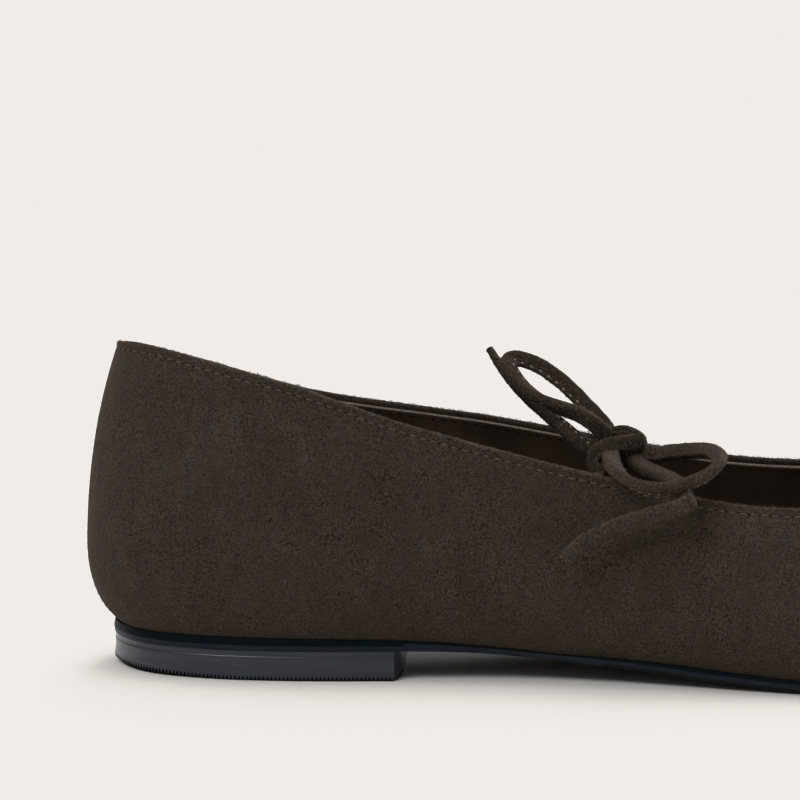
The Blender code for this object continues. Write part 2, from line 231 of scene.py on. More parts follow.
def angle_setting(name, description, degrees):
    """A setting that is an angle."""
    return FloatProperty(name=name, description=description, default=math.radians(degrees),
                         subtype="ANGLE")


class FlatUpperSettings(bpy.types.PropertyGroup):
    """Settings of the suede upper and its lining"""
    suede: colour_setting("Suede", "Colour of the suede", (0.0312, 0.0225, 0.0174))
    lining: colour_setting("Lining", "Colour of the lining leather", (0.034, 0.0200, 0.0118))
    # The cut edge's pale colour is partly the leather's own and partly a painted highlight of light
    # from above.
    raw_edge: colour_setting("Cut edge", "Colour of the lining's cut edge", (0.20, 0.155, 0.125))
    thread: colour_setting("Thread", "Colour of the sewing thread", (0.078, 0.059, 0.048))
    # This dark colour also serves the bars at the needle's holes, as painted shade.
    lining_thread_and_hole_shade: colour_setting(
        "Lining thread", "Colour of the thread on the inside", (0.012, 0.008, 0.006))
    nap_fibres: IntProperty(
        name="Nap fibres", description="How many fibres the nap has", default=45000, min=0,
        max=49000)
    suede_thickness: length_setting(
        "Suede thickness", "Thickness of the folded suede at the top edge", 0.0012)
    wall: length_setting("Wall", "Suede and lining together", 0.0018)
    lining_drop: length_setting(
        "Lining drop", "How far the lining's cut edge lies below the top edge", 0.0012)
    stitch_drop: length_setting(
        "Stitch row", "How far the stitch row lies below the top edge", 0.0020)
    stitch_pitch: length_setting("Stitch pitch", "Distance from stitch to stitch", 0.0022)


class FlatSoleSettings(bpy.types.PropertyGroup):
    """Settings of the sole and the heel block"""
    # The dark edge ink is the edge's own colour, and on the edge's upper half it is also painted
    # shade under the suede.
    shaded_edge_ink: colour_setting("Edge ink", "Colour of the inked sole edge", (0.0016, 0.0050, 0.0070))
    # Paler, bluer ink for the edge's lower half and bevel: a painted reflection of the light.
    painted_reflection_ink: colour_setting(
        "Painted reflection edge ink", "Colour of the sole's edge along its lower half", (0.0080, 0.0125, 0.0195))
    heel_ink: colour_setting(
        "Heel ink", "Colour of the inked heel block", (0.0135, 0.0180, 0.0270))
    tread: colour_setting("Tread", "Colour of the underside", (0.0060, 0.0062, 0.0070))
    tooth_pitch: length_setting(
        "Tooth pitch", "Distance between the teeth of the heel's lower edge", 0.0011)
    tooth_height: length_setting(
        "Tooth height", "Height of the teeth of the heel's lower edge", 0.0010)


class FlatLaceSettings(bpy.types.PropertyGroup):
    """Settings of the laces"""
    thread: colour_setting(
        "Lace thread", "Colour of the thread along the lace", (0.170, 0.145, 0.124))
    lace: colour_setting("Lace", "Colour of the suede lace", (0.0245, 0.0175, 0.0135))
    width: length_setting("Width", "Broad side of the folded lace", 0.0032)
    thickness: length_setting("Thickness", "Narrow side of the folded lace", 0.0022)
    stitch_pitch: length_setting(
        "Lace stitch pitch", "Distance between the stitches along the lace", 0.0020)


class FlatStageSettings(bpy.types.PropertyGroup):
    """Settings of the floor and the camera"""
    floor: colour_setting("Floor", "Colour of the floor", (0.80, 0.772, 0.748))
    azimuth: angle_setting("Azimuth", "Angle of the camera round the shoe", 2.0)
    elevation: angle_setting("Elevation", "Angle of the camera above the floor", 9.0)
    distance: length_setting("Distance", "Distance from the camera to the shoe", 2.2)
    field: length_setting("Field", "Width that the picture shows at the shoe", 0.160)


def last_point(x, y, z):
    """A point given in millimetres from the back of the last, in the frame."""
    return Vector((x * MM + HEEL_BACK, y * MM, z * MM))


# Materials

def new_material(name):
    """A new material and its shader."""
    material = bpy.data.materials.new(name)
    material.use_nodes = True
    shader = material.node_tree.nodes["Principled BSDF"]
    return material, shader


class Weave:
    """Short calls for a material's nodes."""

    def __init__(self, material):
        self.nodes = material.node_tree.nodes
        self.links = material.node_tree.links
        self.place = self.nodes.new("ShaderNodeTexCoord").outputs["Object"]

    def link(self, value, socket):
        """Join another node's output to a socket, or set a plain value on it."""
        if isinstance(value, bpy.types.NodeSocket):
            self.links.new(value, socket)
        else:
            socket.default_value = value

    def stretched(self, scale):
        """The place on the piece, scaled by its own amount along each direction."""
        mapping = self.nodes.new("ShaderNodeMapping")
        self.links.new(self.place, mapping.inputs["Vector"])
        mapping.inputs["Scale"].default_value = scale
        return mapping.outputs["Vector"]

    def noise(self, size, detail, rough=0.55, place=None, distortion=0.0):
        """Noise whose features are about size metres across."""
        node = self.nodes.new("ShaderNodeTexNoise")
        self.links.new(place or self.place, node.inputs["Vector"])
        node.inputs["Scale"].default_value = 1.0 / size
        node.inputs["Detail"].default_value = detail
        node.inputs["Roughness"].default_value = rough
        node.inputs["Distortion"].default_value = distortion
        return node.outputs["Fac"]

    def grain(self, size):
        """Small cells about size metres across."""
        node = self.nodes.new("ShaderNodeTexVoronoi")
        self.links.new(self.place, node.inputs["Vector"])
        node.inputs["Scale"].default_value = 1.0 / size
        return node.outputs["Distance"]

    def spread(self, value, low, high, start=0.35, end=0.65):
        """The value's range from start to end, spread from low to high."""
        node = self.nodes.new("ShaderNodeMapRange")
        self.link(value, node.inputs["Value"])
        node.inputs["From Min"].default_value = start
        node.inputs["From Max"].default_value = end
        node.inputs["To Min"].default_value = low
        node.inputs["To Max"].default_value = high
        return node.outputs["Result"]

    def mix(self, share, first, second):
        """One colour passing into another by a share."""
        node = self.nodes.new("ShaderNodeMix")
        node.data_type = "RGBA"
        self.link(share, node.inputs[0])
        self.link(first, node.inputs[6])
        self.link(second, node.inputs[7])
        return node.outputs[2]

    def tones(self, value, colour, dark, light):
        """A darker and a lighter tone of a colour, mixed by a value."""
        return self.mix(self.spread(value, 0.0, 1.0), opaque(colour, dark), opaque(colour, light))

    def bump(self, height, depth, strength, under=None):
        """Relief of a depth in metres, over the relief under it if there is one."""
        node = self.nodes.new("ShaderNodeBump")
        self.link(height, node.inputs["Height"])
        node.inputs["Distance"].default_value = depth
        node.inputs["Strength"].default_value = strength
        if under is not None:
            self.links.new(under, node.inputs["Normal"])
        return node.outputs["Normal"]


def opaque(colour, gain=1.0):
    """A colour made lighter or darker, with its alpha."""
    return tuple(min(part * gain, 1.0) for part in colour) + (1.0,)


def suede_material(name, colour, nap=0.00040, mottle=0.006):
    """Brushed suede: speckled nap, tufts, soft strokes and paler and olive patches, no gloss."""
    material, shader = new_material(name)
    weave = Weave(material)
    olive = (colour[0] * 1.05, colour[1] * 1.12, colour[2] * 0.72)
    speckle = weave.noise(nap, 2.0, 0.7)
    tufts = weave.noise(nap * 2.6, 2.0, 0.6)
    strokes = weave.noise(mottle, 4.0, 0.6, weave.stretched((1.0, 1.0, 0.55)), 0.6)
    patches = weave.noise(0.022, 3.0, 0.5)
    base = weave.mix(weave.spread(speckle, 0.0, 1.0, 0.40, 0.60), opaque(colour, 0.04),
                     opaque(colour, 2.1))
    base = weave.mix(weave.spread(tufts, 0.0, 0.35, 0.42, 0.60), base, opaque(colour, 1.9))
    base = weave.mix(weave.spread(strokes, 0.0, 0.45), base, opaque(colour, 0.45))
    base = weave.mix(weave.spread(patches, 0.0, 0.25), base, opaque(colour, 1.5))
    base = weave.mix(weave.spread(weave.noise(0.003, 3.0), 0.0, 0.35, 0.42, 0.65), base,
                     opaque(olive, 1.15))
    weave.link(base, shader.inputs["Base Color"])
    weave.link(weave.spread(speckle, 0.86, 1.0), shader.inputs["Roughness"])
    shader.inputs["Specular IOR Level"].default_value = 0.12
    shader.inputs["Sheen Weight"].default_value = 0.18
    shader.inputs["Sheen Roughness"].default_value = 0.55
    shader.inputs["Sheen Tint"].default_value = opaque(colour, 8.0)
    fibres = weave.bump(speckle, 0.00022, 0.9)
    weave.link(weave.bump(strokes, 0.00035, 0.35, fibres), shader.inputs["Normal"])
    return material


def fine_material(name, colour, tone, shades, roughness, shine, relief, cells=None):
    """A finish with a soft change of tone, and a fine relief of that noise or of small cells."""
    material, shader = new_material(name)
    weave = Weave(material)
    value = weave.noise(*tone)
    weave.link(weave.tones(value, colour, *shades), shader.inputs["Base Color"])
    rough = weave.spread(value, *roughness) if isinstance(roughness, tuple) else roughness
    weave.link(rough, shader.inputs["Roughness"])
    shader.inputs["Specular IOR Level"].default_value = shine
    height = weave.grain(cells) if cells else value
    weave.link(weave.bump(height, *relief), shader.inputs["Normal"])
    return material


def lining_material(name, colour):
    """Smooth lining leather with a fine pored grain."""
    return fine_material(name, colour, (0.012, 3.0), (0.75, 1.25), (0.52, 0.68), 0.35,
                         (0.00008, 0.5), 0.0009)


def cut_edge_and_highlight_material(colour):
    """The cut edge of the lining: paler, fibrous leather, lit further by a painted highlight."""
    return fine_material("lining_cut_edge_and_highlight", colour, (0.0005, 3.0, 0.7), (0.55, 1.3), 0.85, 0.5,
                         (0.0001, 0.7))


def thread_material(name, colour):
    """Twisted sewing thread."""
    return fine_material(name, colour, (0.0003, 2.0, 0.6), (0.6, 1.4), 0.85, 0.12, (0.00008, 0.6))


def tread_material(name, colour):
    """The underside: inked sole leather with a fine pebble."""
    return fine_material(name, colour, (0.02, 4.0), (0.8, 1.3), 0.75, 0.15, (0.00015, 0.6), 0.0014)


def ink_material(name, colour, roughness, streak, coat, shine):
    """Inked and burnished leather edge: lengthwise streaks, small scuffs, some gloss."""
    material, shader = new_material(name)
    weave = Weave(material)
    layers = weave.noise(streak, 4.0, 0.6, weave.stretched((0.12, 0.12, 1.0)))
    scuffs = weave.noise(0.0035, 5.0, 0.7)
    base = weave.tones(layers, colour, 0.78, 1.22)
    base = weave.mix(weave.spread(scuffs, 0.0, 0.35, 0.55, 0.75), base, opaque(colour, 1.9))
    weave.link(base, shader.inputs["Base Color"])
    weave.link(weave.spread(scuffs, roughness - 0.06, roughness + 0.12, 0.4, 0.75),
               shader.inputs["Roughness"])
    shader.inputs["Specular IOR Level"].default_value = shine
    shader.inputs["Coat Weight"].default_value = coat
    shader.inputs["Coat Roughness"].default_value = 0.22
    weave.link(weave.bump(layers, 0.00010, 0.35), shader.inputs["Normal"])
    return material


def floor_material(colour):
    """Plain matt floor."""
    material, shader = new_material("studio_floor")
    shader.inputs["Base Color"].default_value = opaque(colour)
    shader.inputs["Roughness"].default_value = 0.9
    shader.inputs["Specular IOR Level"].default_value = 0.1
    return material


# Shapes

def new_piece(name, points, faces, materials, marks=None, smooth=True):
    """A mesh object from points and faces, riding on the shoe."""
    mesh = bpy.data.meshes.new(name)
    mesh.from_pydata([tuple(point) for point in points], [], faces)
    for material in materials:
        mesh.materials.append(material)
    if marks is not None:
        mesh.polygons.foreach_set("material_index", marks)
    mesh.update()
    if smooth:
        mesh.shade_smooth()
    piece = bpy.data.objects.new(name, mesh)
    bpy.context.scene.collection.objects.link(piece)
    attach(piece, BODY)
    return piece


def turn_faces_out(piece, sharp=None):
    """Turn the faces outward, and keep edges over an angle sharp."""
    shape = bmesh.new()
    shape.from_mesh(piece.data)
    bmesh.ops.recalc_face_normals(shape, faces=shape.faces)
    shape.to_mesh(piece.data)
    shape.free()
    if sharp is not None:
        piece.data.set_sharp_from_angle(angle=sharp)


def band_faces(rows, columns, joined=False):
    """Four-sided faces between rings of points, the last ring joined to the first if asked."""
    faces = []
    for row in range(rows if joined else rows - 1):
        above = (row + 1) % rows
        for column in range(columns):
            after = (column + 1) % columns
            faces.append((row * columns + column, row * columns + after,
                          above * columns + after, above * columns + column))
    return faces


def tube_faces(rows, columns):
    """Faces between rings of points, with one face across each end."""
    faces = band_faces(rows, columns)
    faces.append(tuple(range(columns))[::-1])
    faces.append(tuple(range((rows - 1) * columns, rows * columns)))
    return faces


def curve_points(before, here, after, beyond, times):
    """Points at even steps along the smooth curves that run from here to after."""
    fine = []
    for step in range(times):
        t = step / times
        fine.append(0.5 * (2 * here + (after - before) * t
                           + (2 * before - 5 * here + 4 * after - beyond) * t ** 2
                           + (3 * here - before - 3 * after + beyond) * t ** 3))
    return np.stack(fine, axis=1).reshape(-1, *here.shape[1:])


def smooth_ring(points, times):
    """More points along a closed smooth curve through the points given."""
    points = np.asarray(points)
    return curve_points(*(np.roll(points, shift, axis=0) for shift in (1, 0, -1, -2)), times)


def smooth_line(points, times):
    """More points along an open smooth curve through the points given."""
    points = np.asarray(points, dtype=float)
    padded = np.concatenate(([2 * points[0] - points[1]], points, [2 * points[-1] - points[-2]]))
    fine = curve_points(*(padded[shift:len(padded) - 3 + shift] for shift in range(4)), times)
    return np.concatenate((fine, points[-1:]))


def lengths_along(points):
    """The length of the line up to each of its points."""
    steps = np.linalg.norm(np.diff(points, axis=0), axis=1)
    return np.concatenate(([0.0], np.cumsum(steps)))


def even_line(points, count):
    """A number of points at even steps along a line."""
    lengths = lengths_along(points)
    wanted = np.linspace(0.0, lengths[-1], count)
    return np.stack([np.interp(wanted, lengths, points[:, axis]) for axis in range(3)], axis=1)


def unit(vectors):
    """The directions of vectors."""
    return vectors / np.maximum(np.linalg.norm(vectors, axis=-1, keepdims=True), 1e-12)


def welded(node):
    """A node's mesh with its doubled corners welded."""
    shape = bmesh.new()
    shape.from_mesh(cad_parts[node].data)
    bmesh.ops.remove_doubles(shape, verts=shape.verts, dist=WELD)
    return shape


def walk(links):
    """The members of a closed chain in order, from what each is linked to."""
    first = next(iter(links))
    order = [first]
    previous = None
    while True:
        steps = [other for other in links[order[-1]] if other != previous]
        if not steps or steps[0] == first:
            return order
        previous = order[-1]
        order.append(steps[0])


def sharp_loops(shape, angle, keep=lambda edge: True):
    """Closed chains of sharp edges, each a list of corners in order."""
    links = {}
    for edge in shape.edges:
        if len(edge.link_faces) == 2 and edge.calc_face_angle() > angle and keep(edge):
            first, second = edge.verts
            for here, there in ((first, second), (second, first)):
                links.setdefault(here, []).append(there)
    loops = []
    while links:
        order = walk(links)
        loops.append(order)
        for vert in order:
            links.pop(vert, None)
    return loops


def as_points(loop):
    """The places of a loop's corners."""
    return np.array([tuple(vert.co) for vert in loop])


def lined_up(ring, before):
    """The ring turned so that its points lie next to those of the ring before."""
    best = None
    for candidate in (ring, ring[::-1]):
        for shift in range(len(ring)):
            moved = np.roll(candidate, shift, axis=0)
            cost = ((moved - before) ** 2).sum()
            if best is None or cost < best[0]:
                best = (cost, moved)
    return best[1]


def from_the_back(ring):
    """The ring begun at the back of the heel and run along the inner side first."""
    start = int(np.argmin(ring[:, 0] + np.abs(ring[:, 1])))
    ring = np.roll(ring, -start, axis=0)
    if ring[len(ring) // 4, 1] > 0.0:
        ring = np.roll(ring[::-1], 1, axis=0)
    return ring


def outer_rings():
    """Rings of the upper's outer surface, from the top edge down to the sole."""
    shape = welded("upper")
    loops = sharp_loops(shape, SHARP_RIM)
    highest = max(shape.verts, key=lambda vert: vert.co.z)
    rim = next(loop for loop in loops if highest in loop)
    used = {vert for loop in loops for vert in loop}
    rings = [from_the_back(as_points(rim))]
    ring = rim
    while True:
        around = {edge.other_vert(vert) for vert in ring for edge in vert.link_edges} - used
        if not around:
            break
        links = {vert: [edge.other_vert(vert) for edge in vert.link_edges
                        if edge.other_vert(vert) in around] for vert in around}
        ring = walk(links)
        used.update(ring)
        rings.append(lined_up(as_points(ring), rings[-1]))
    shape.free()
    return np.array(rings)


def over_the_sole(points):
    """How far the suede's lower edge comes down over the sole's edge, most at the waist."""
    ahead = (points[..., 0] - HEEL_BACK) / MM - HANG_PLACE
    reach = np.where(ahead < 0.0, HANG_BEHIND, HANG_AHEAD)
    return HANG * np.exp(-(ahead / reach) ** 2)


def outer_rim_lift(points):
    """How far the outer side's top edge is pulled up between the instep and the throat."""
    place = (points[..., 0] - HEEL_BACK) / MM
    lift = np.interp(place, RIM_LIFT_PLACES, RIM_LIFT)
    return lift * MM * np.clip(points[..., 1] / RIM_LIFT_REACH, 0.0, 1.0)


class Wall:
    """The upper's outer surface, smooth in both directions, and what lies under it."""

    AROUND = 4
    ROWS_AT_EDGE = (0.0, 0.15, 0.3, 0.45, 0.6, 0.8, 1.0, 1.15, 1.3, 1.5, 1.7, 1.85, 2.0, 2.15, 2.3,
                    2.5, 2.8, 3.3, 4.0)
    ROWS_BELOW = 44

    def __init__(self):
        rings = outer_rings()
        fine = np.stack([smooth_ring(ring, self.AROUND) for ring in rings])
        dense = smooth_line(fine, 6)
        count = dense.shape[1]
        edge = np.array(self.ROWS_AT_EDGE) * MM
        self.rows = np.empty((len(edge) + self.ROWS_BELOW, count, 3))
        self.drop = np.empty(self.rows.shape[:2])
        for column in range(count):
            line = dense[:, column]
            lengths = lengths_along(line)
            lower = np.linspace(edge[-1], lengths[-1], self.ROWS_BELOW + 1)[1:]
            wanted = np.concatenate((edge, lower))
            self.drop[:, column] = wanted
            for axis in range(3):
                self.rows[:, column, axis] = np.interp(wanted, lengths, line[:, axis])
        share = self.drop / self.drop[-1]
        lift = outer_rim_lift(self.rows) * (1.0 - share) ** 2
        self.rows[..., 2] += lift - over_the_sole(self.rows) * share ** 5
        around = np.roll(self.rows, -1, axis=1) - np.roll(self.rows, 1, axis=1)
        down = np.gradient(self.rows, axis=0)
        self.inward = unit(np.cross(around, down))

    def row_at(self, drop):
        """Points and inward directions all round, at a distance below the top edge."""
        index = int(np.argmin(np.abs(self.drop[:, 0] - drop)))
        return self.rows[index], self.inward[index]


def soft_dents(points):
    """Depth of the listed troughs and ridges at each point of the outer surface.

    Each dent has a centre in millimetres from the back of the last, a radius along X and
    along Z, and a depth: the pull of the tied lace on both sides, the slack of the
    collar before and behind it, and the soft quarter over the waist.
    """
    dents = (
        ((104.0, -30.0, 38.0), 7.0, 7.0, 0.35),
        ((118.0, -31.0, 34.0), 9.0, 8.0, -0.22),
        ((88.0, -29.5, 38.0), 10.0, 8.0, -0.25),
        ((109.0, 31.0, 36.0), 7.0, 7.0, 0.35),
        ((60.0, -30.0, 34.0), 16.0, 10.0, 0.30),
        ((28.0, -28.0, 40.0), 14.0, 12.0, -0.25),
        ((140.0, -38.0, 24.0), 16.0, 8.0, 0.25),
        ((75.0, 32.0, 30.0), 16.0, 10.0, 0.30),
    )
    x = (points[..., 0] - HEEL_BACK) / MM
    y = points[..., 1] / MM
    z = points[..., 2] / MM
    depth = np.zeros(x.shape)
    for (cx, cy, cz), reach_x, reach_z, size in dents:
        same_side = y * cy > 0.0
        fall = np.exp(-((x - cx) / reach_x) ** 2 - ((z - cz) / reach_z) ** 2)
        depth += np.where(same_side, fall * size * MM, 0.0)
    return depth


def uneven(points):
    """Gentle unevenness of hand-lasted leather."""
    values = [noise.noise(Vector(point) / UNEVEN_SIZE) for point in points.reshape(-1, 3)]
    return np.array(values).reshape(points.shape[:-1]) * UNEVEN_DEPTH


def closed_sheet(name, rings, materials, marks):
    """A closed body from rings that run round the shoe, the last joined to the first."""
    rings = np.array(rings)
    rows, columns = rings.shape[:2]
    piece = new_piece(name, rings.reshape(-1, 3), band_faces(rows, columns, True), materials,
                      np.repeat(marks, columns))
    turn_faces_out(piece, math.radians(50))
    return piece


def make_suede(wall, settings):
    """The outer suede, turned in over the top edge."""
    thick = settings.suede_thickness
    radius = thick / 2.0
    trough = TROUGH_DEPTH * np.exp(-((wall.drop - settings.stitch_drop) / TROUGH_WIDTH) ** 2)
    depth = soft_dents(wall.rows) + uneven(wall.rows) + trough
    fade = np.clip((wall.drop[-1] - wall.drop) / FADE_REACH, 0.0, 1.0)
    outer = wall.rows + wall.inward * (depth * fade)[..., None]
    foot = wall.rows[-1] + unit(wall.rows[-1] - wall.rows[-2]) * UNDER_TURN
    rings = [foot]
    first = int(np.argmin(np.abs(np.array(wall.ROWS_AT_EDGE) * MM - radius)))
    rings += list(outer[:first - 1:-1])
    edge_inward = wall.inward[0]
    up = unit(outer[0] - outer[first])
    centre = outer[first] + edge_inward * radius
    for step in range(1, 8):
        angle = math.pi * step / 8.0
        rings.append(centre - edge_inward * radius * math.cos(angle)
                     + up * radius * math.sin(angle))
    for row in range(first, len(outer)):
        rings.append(wall.rows[row] + wall.inward[row] * thick)
    rings.append(foot + wall.inward[-1] * thick)
    piece = closed_sheet("suede_upper", rings, [suede_material("brown_suede", settings.suede)],
                         [0] * len(rings))
    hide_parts("upper")


def fibres(name, places, away, lean, count, length, seed, material, slot):
    """Short fibres that stand on a grid of places, each a slim closed spike."""
    chance = np.random.default_rng(seed)
    across = np.roll(places, -1, axis=1) - places
    down = np.diff(places, axis=0)
    area = np.linalg.norm(np.cross(across[:-1], down), axis=2)
    cells = chance.choice(area.size, size=count, p=(area / area.sum()).ravel())
    row, column = np.unravel_index(cells, area.shape)
    share_down = chance.random((count, 1))
    share_across = chance.random((count, 1))
    root = (places[row, column] + down[row, column] * share_down
            + across[row, column] * share_across)
    up = away[row, column]
    side = unit(across[row, column])
    other = np.cross(up, side)
    angle = chance.normal(lean, 0.9, (count, 1))
    flat = side * np.cos(angle) + other * np.sin(angle)
    size = length * (0.55 + 0.9 * chance.random((count, 1)))
    tip = root + flat * size + up * size * (0.25 + 0.45 * chance.random((count, 1)))
    thick = FIBRE_RADIUS * (0.7 + 0.6 * chance.random((count, 1)))
    root = root - up * FIBRE_ROOT
    points = np.empty((count, 4, 3))
    for corner in range(3):
        turn = 2.0 * math.pi * corner / 3.0
        points[:, corner] = root + (side * math.cos(turn) + other * math.sin(turn)) * thick
    points[:, 3] = tip
    start = np.arange(count)[:, None, None] * 4
    faces = start + np.array(((0, 2, 1), (0, 1, 3), (1, 2, 3), (2, 0, 3)))
    piece = new_piece(name, points.reshape(-1, 3), faces.reshape(-1, 3).tolist(), [material],
                      smooth=False)
    turn_faces_out(piece)
    return piece


def make_nap(wall, settings):
    """The nap, laid by brushing: short fibres over the outside, and a lighter fray of them along
    the top edge, partly a painted highlight of the rim.
    """
    rows = wall.rows[4:-2]
    tips = suede_material("suede_nap", [part * 2.0 for part in settings.suede], 0.0009, 0.008)
    fibres("suede_nap", rows, -wall.inward[4:-2], -0.9, settings.nap_fibres, NAP_LENGTH, 11, tips,
           "suede")
    # The fray along the top edge is lighter than the nap: frayed fibres, and a painted highlight
    # where the rim catches the light.
    lit_fray = suede_material("frayed_edge_and_highlight", [part * 2.6 for part in settings.suede], 0.0009, 0.008)
    upwards = unit(np.array((0.0, 0.0, 0.8)) - wall.inward[:6])
    fibres("top_edge_fray", wall.rows[:6], upwards, -0.4, FRAY_FIBRES, FRAY_LENGTH, 12,
           lit_fray, "suede")


def make_back_seam(wall):
    """The closed seam down the back of the heel, a low ridge."""
    middle = wall.rows[3:-1, 0]
    side = unit(wall.rows[3:-1, 1] - wall.rows[3:-1, -1])
    out = -wall.inward[3:-1, 0]
    profile = ((-0.42, -0.10), (-0.30, 0.05), (-0.10, 0.09), (0.0, 0.02), (0.10, 0.09),
               (0.30, 0.05), (0.42, -0.10), (0.0, -0.20))
    points = [middle + side * x * MM + out * z * MM for x, z in profile]
    points = np.stack(points, axis=1)
    piece = new_piece("back_seam", points.reshape(-1, 3), tube_faces(*points.shape[:2]),
                      [bpy.data.materials["brown_suede"]])
    turn_faces_out(piece, math.radians(60))


def make_lining(wall, settings):
    """The lining, with its cut edge a little below the top edge, paler and with a painted
    highlight.
    """
    first = int(np.argmin(np.abs(np.array(wall.ROWS_AT_EDGE) * MM - settings.lining_drop)))
    outer = settings.suede_thickness - LINING_GAP
    inner = settings.wall
    rings = []
    marks = []
    for row in range(len(wall.rows) - 1, first - 1, -1):
        rings.append(wall.rows[row] + wall.inward[row] * outer)
        marks.append(0)
    marks[-1] = 1
    lip = wall.rows[first] + wall.inward[first] * (outer + 0.75 * (inner - outer))
    rings.append(lip - unit(wall.rows[first] - wall.rows[first - 1]) * LINING_ROLL)
    marks.append(1)
    for row in range(first + 1, len(wall.rows)):
        rings.append(wall.rows[row] + wall.inward[row] * inner)
        marks.append(0)
    leather = lining_material("lining_leather", settings.lining)
    # The cut edge is paler leather with a painted highlight of the light from above.
    piece = closed_sheet("lining", rings, [leather, cut_edge_and_highlight_material(settings.raw_edge)], marks)


def stitch_shape(length, radius, sides=8, rings=7):
    """One stitch along X: a small rounded bar that dips at both ends."""
    points = []
    for ring in range(rings):
        t = -1.0 + 2.0 * ring / (rings - 1)
        swell = max(math.sqrt(max(1.0 - t * t, 0.0)), 0.12)
        for side in range(sides):
            angle = 2.0 * math.pi * side / sides
            points.append((t * length / 2.0, math.cos(angle) * radius * swell,
                           math.sin(angle) * radius * swell - radius * 0.7 * t * t))
    return np.array(points), tube_faces(rings, sides)


def stitched(name, path, outward, pitch, length, radius, material, closed, shift=0.5):
    """Stitches at even steps along a path, a little out of line, joined into one mesh."""
    points = np.concatenate((path, path[:1])) if closed else path
    facing = np.concatenate((outward, outward[:1])) if closed else outward
    lengths = lengths_along(points)
    count = max(2, int(round(lengths[-1] / pitch)))
    shape, shape_faces = stitch_shape(length, radius)
    verts = []
    faces = []
    for index in range(count):
        middle = (index + shift) * lengths[-1] / count
        ends = [np.array([np.interp(middle + reach, lengths, points[:, axis])
                          for axis in range(3)]) for reach in (-length / 4, length / 4)]
        up = np.array([np.interp(middle, lengths, facing[:, axis]) for axis in range(3)])
        along = unit(ends[1] - ends[0])
        up = unit(up - along * up.dot(along))
        side = np.cross(up, along)
        place = (ends[0] + ends[1]) / 2.0
        place = place + side * radius * 0.8 * noise.noise(Vector(place) / 0.0017)
        start = len(verts) * len(shape)
        verts.append(place + shape[:, :1] * along + shape[:, 1:2] * side + shape[:, 2:] * up)
        faces += [tuple(start + corner for corner in face) for face in shape_faces]
    piece = new_piece(name, np.concatenate(verts), faces, [material])
    turn_faces_out(piece)
    return piece


def make_stitching(wall, settings):
    """The stitch row round the top edge, outside and inside, and painted shade in needle holes."""
    thread = thread_material("brown_thread", settings.thread)
    points, inward = wall.row_at(settings.stitch_drop)
    length = settings.stitch_pitch * STITCH_SHARE
    outside = points + inward * STITCH_SINK
    stitched("top_stitching", outside, -inward, settings.stitch_pitch, length, STITCH_RADIUS,
             thread, True)
    # The dark thread inside, and dark bars sunk into the needle's holes as painted shade.
    dark = thread_material("lining_thread_and_hole_shade", settings.lining_thread_and_hole_shade)
    stitched("needle_holes_painted_shade", points + inward * HOLE_SINK, -inward, settings.stitch_pitch,
             settings.stitch_pitch * HOLE_SHARE, HOLE_RADIUS, dark, True, 0.0)
    inside = points + inward * (settings.wall - LINING_GAP)
    stitched("top_stitching_inside", inside, inward, settings.stitch_pitch, length,
             INSIDE_STITCH_RADIUS, dark, True)


def level_loops(node, angle):
    """The sharp level loops of a node, lowest first, as points from the back of the heel."""
    shape = welded(node)
    loops = [from_the_back(as_points(loop)) for loop in sharp_loops(shape, angle)]
    shape.free()
    return sorted(loops, key=lambda ring: ring[:, 2].mean())


def ladder_faces(total, start, flip):
    """Faces from side to side across a ring of points that begins at the back."""
    faces = []
    for index in range(total // 2):
        corners = [index, index + 1, (total - index - 1) % total, (total - index) % total]
        face = [start + corner for place, corner in enumerate(corners)
                if corner not in corners[:place]]
        if len(face) > 2:
            faces.append(tuple(face[::-1] if flip else face))
    return faces


def solid_from_rings(name, rings, materials, marks, low_mark, high_mark, sharp):
    """A closed body from rings that run round it, with a ladder of faces across each end."""
    rings = np.array(rings)
    rows, columns = rings.shape[:2]
    faces = band_faces(rows, columns)
    face_marks = list(np.repeat(marks, columns))
    low = ladder_faces(columns, 0, True)
    high = ladder_faces(columns, (rows - 1) * columns, False)
    faces += low + high
    face_marks += [low_mark] * len(low) + [high_mark] * len(high)
    piece = new_piece(name, rings.reshape(-1, 3), faces, materials, face_marks)
    turn_faces_out(piece, sharp)
    return piece


def ring_outward(ring):
    """The level directions that point out of a ring."""
    along = np.roll(ring, -1, axis=0) - np.roll(ring, 1, axis=0)
    side = np.stack((-along[:, 1], along[:, 0], np.zeros(len(ring))), axis=1)
    return -unit(side)


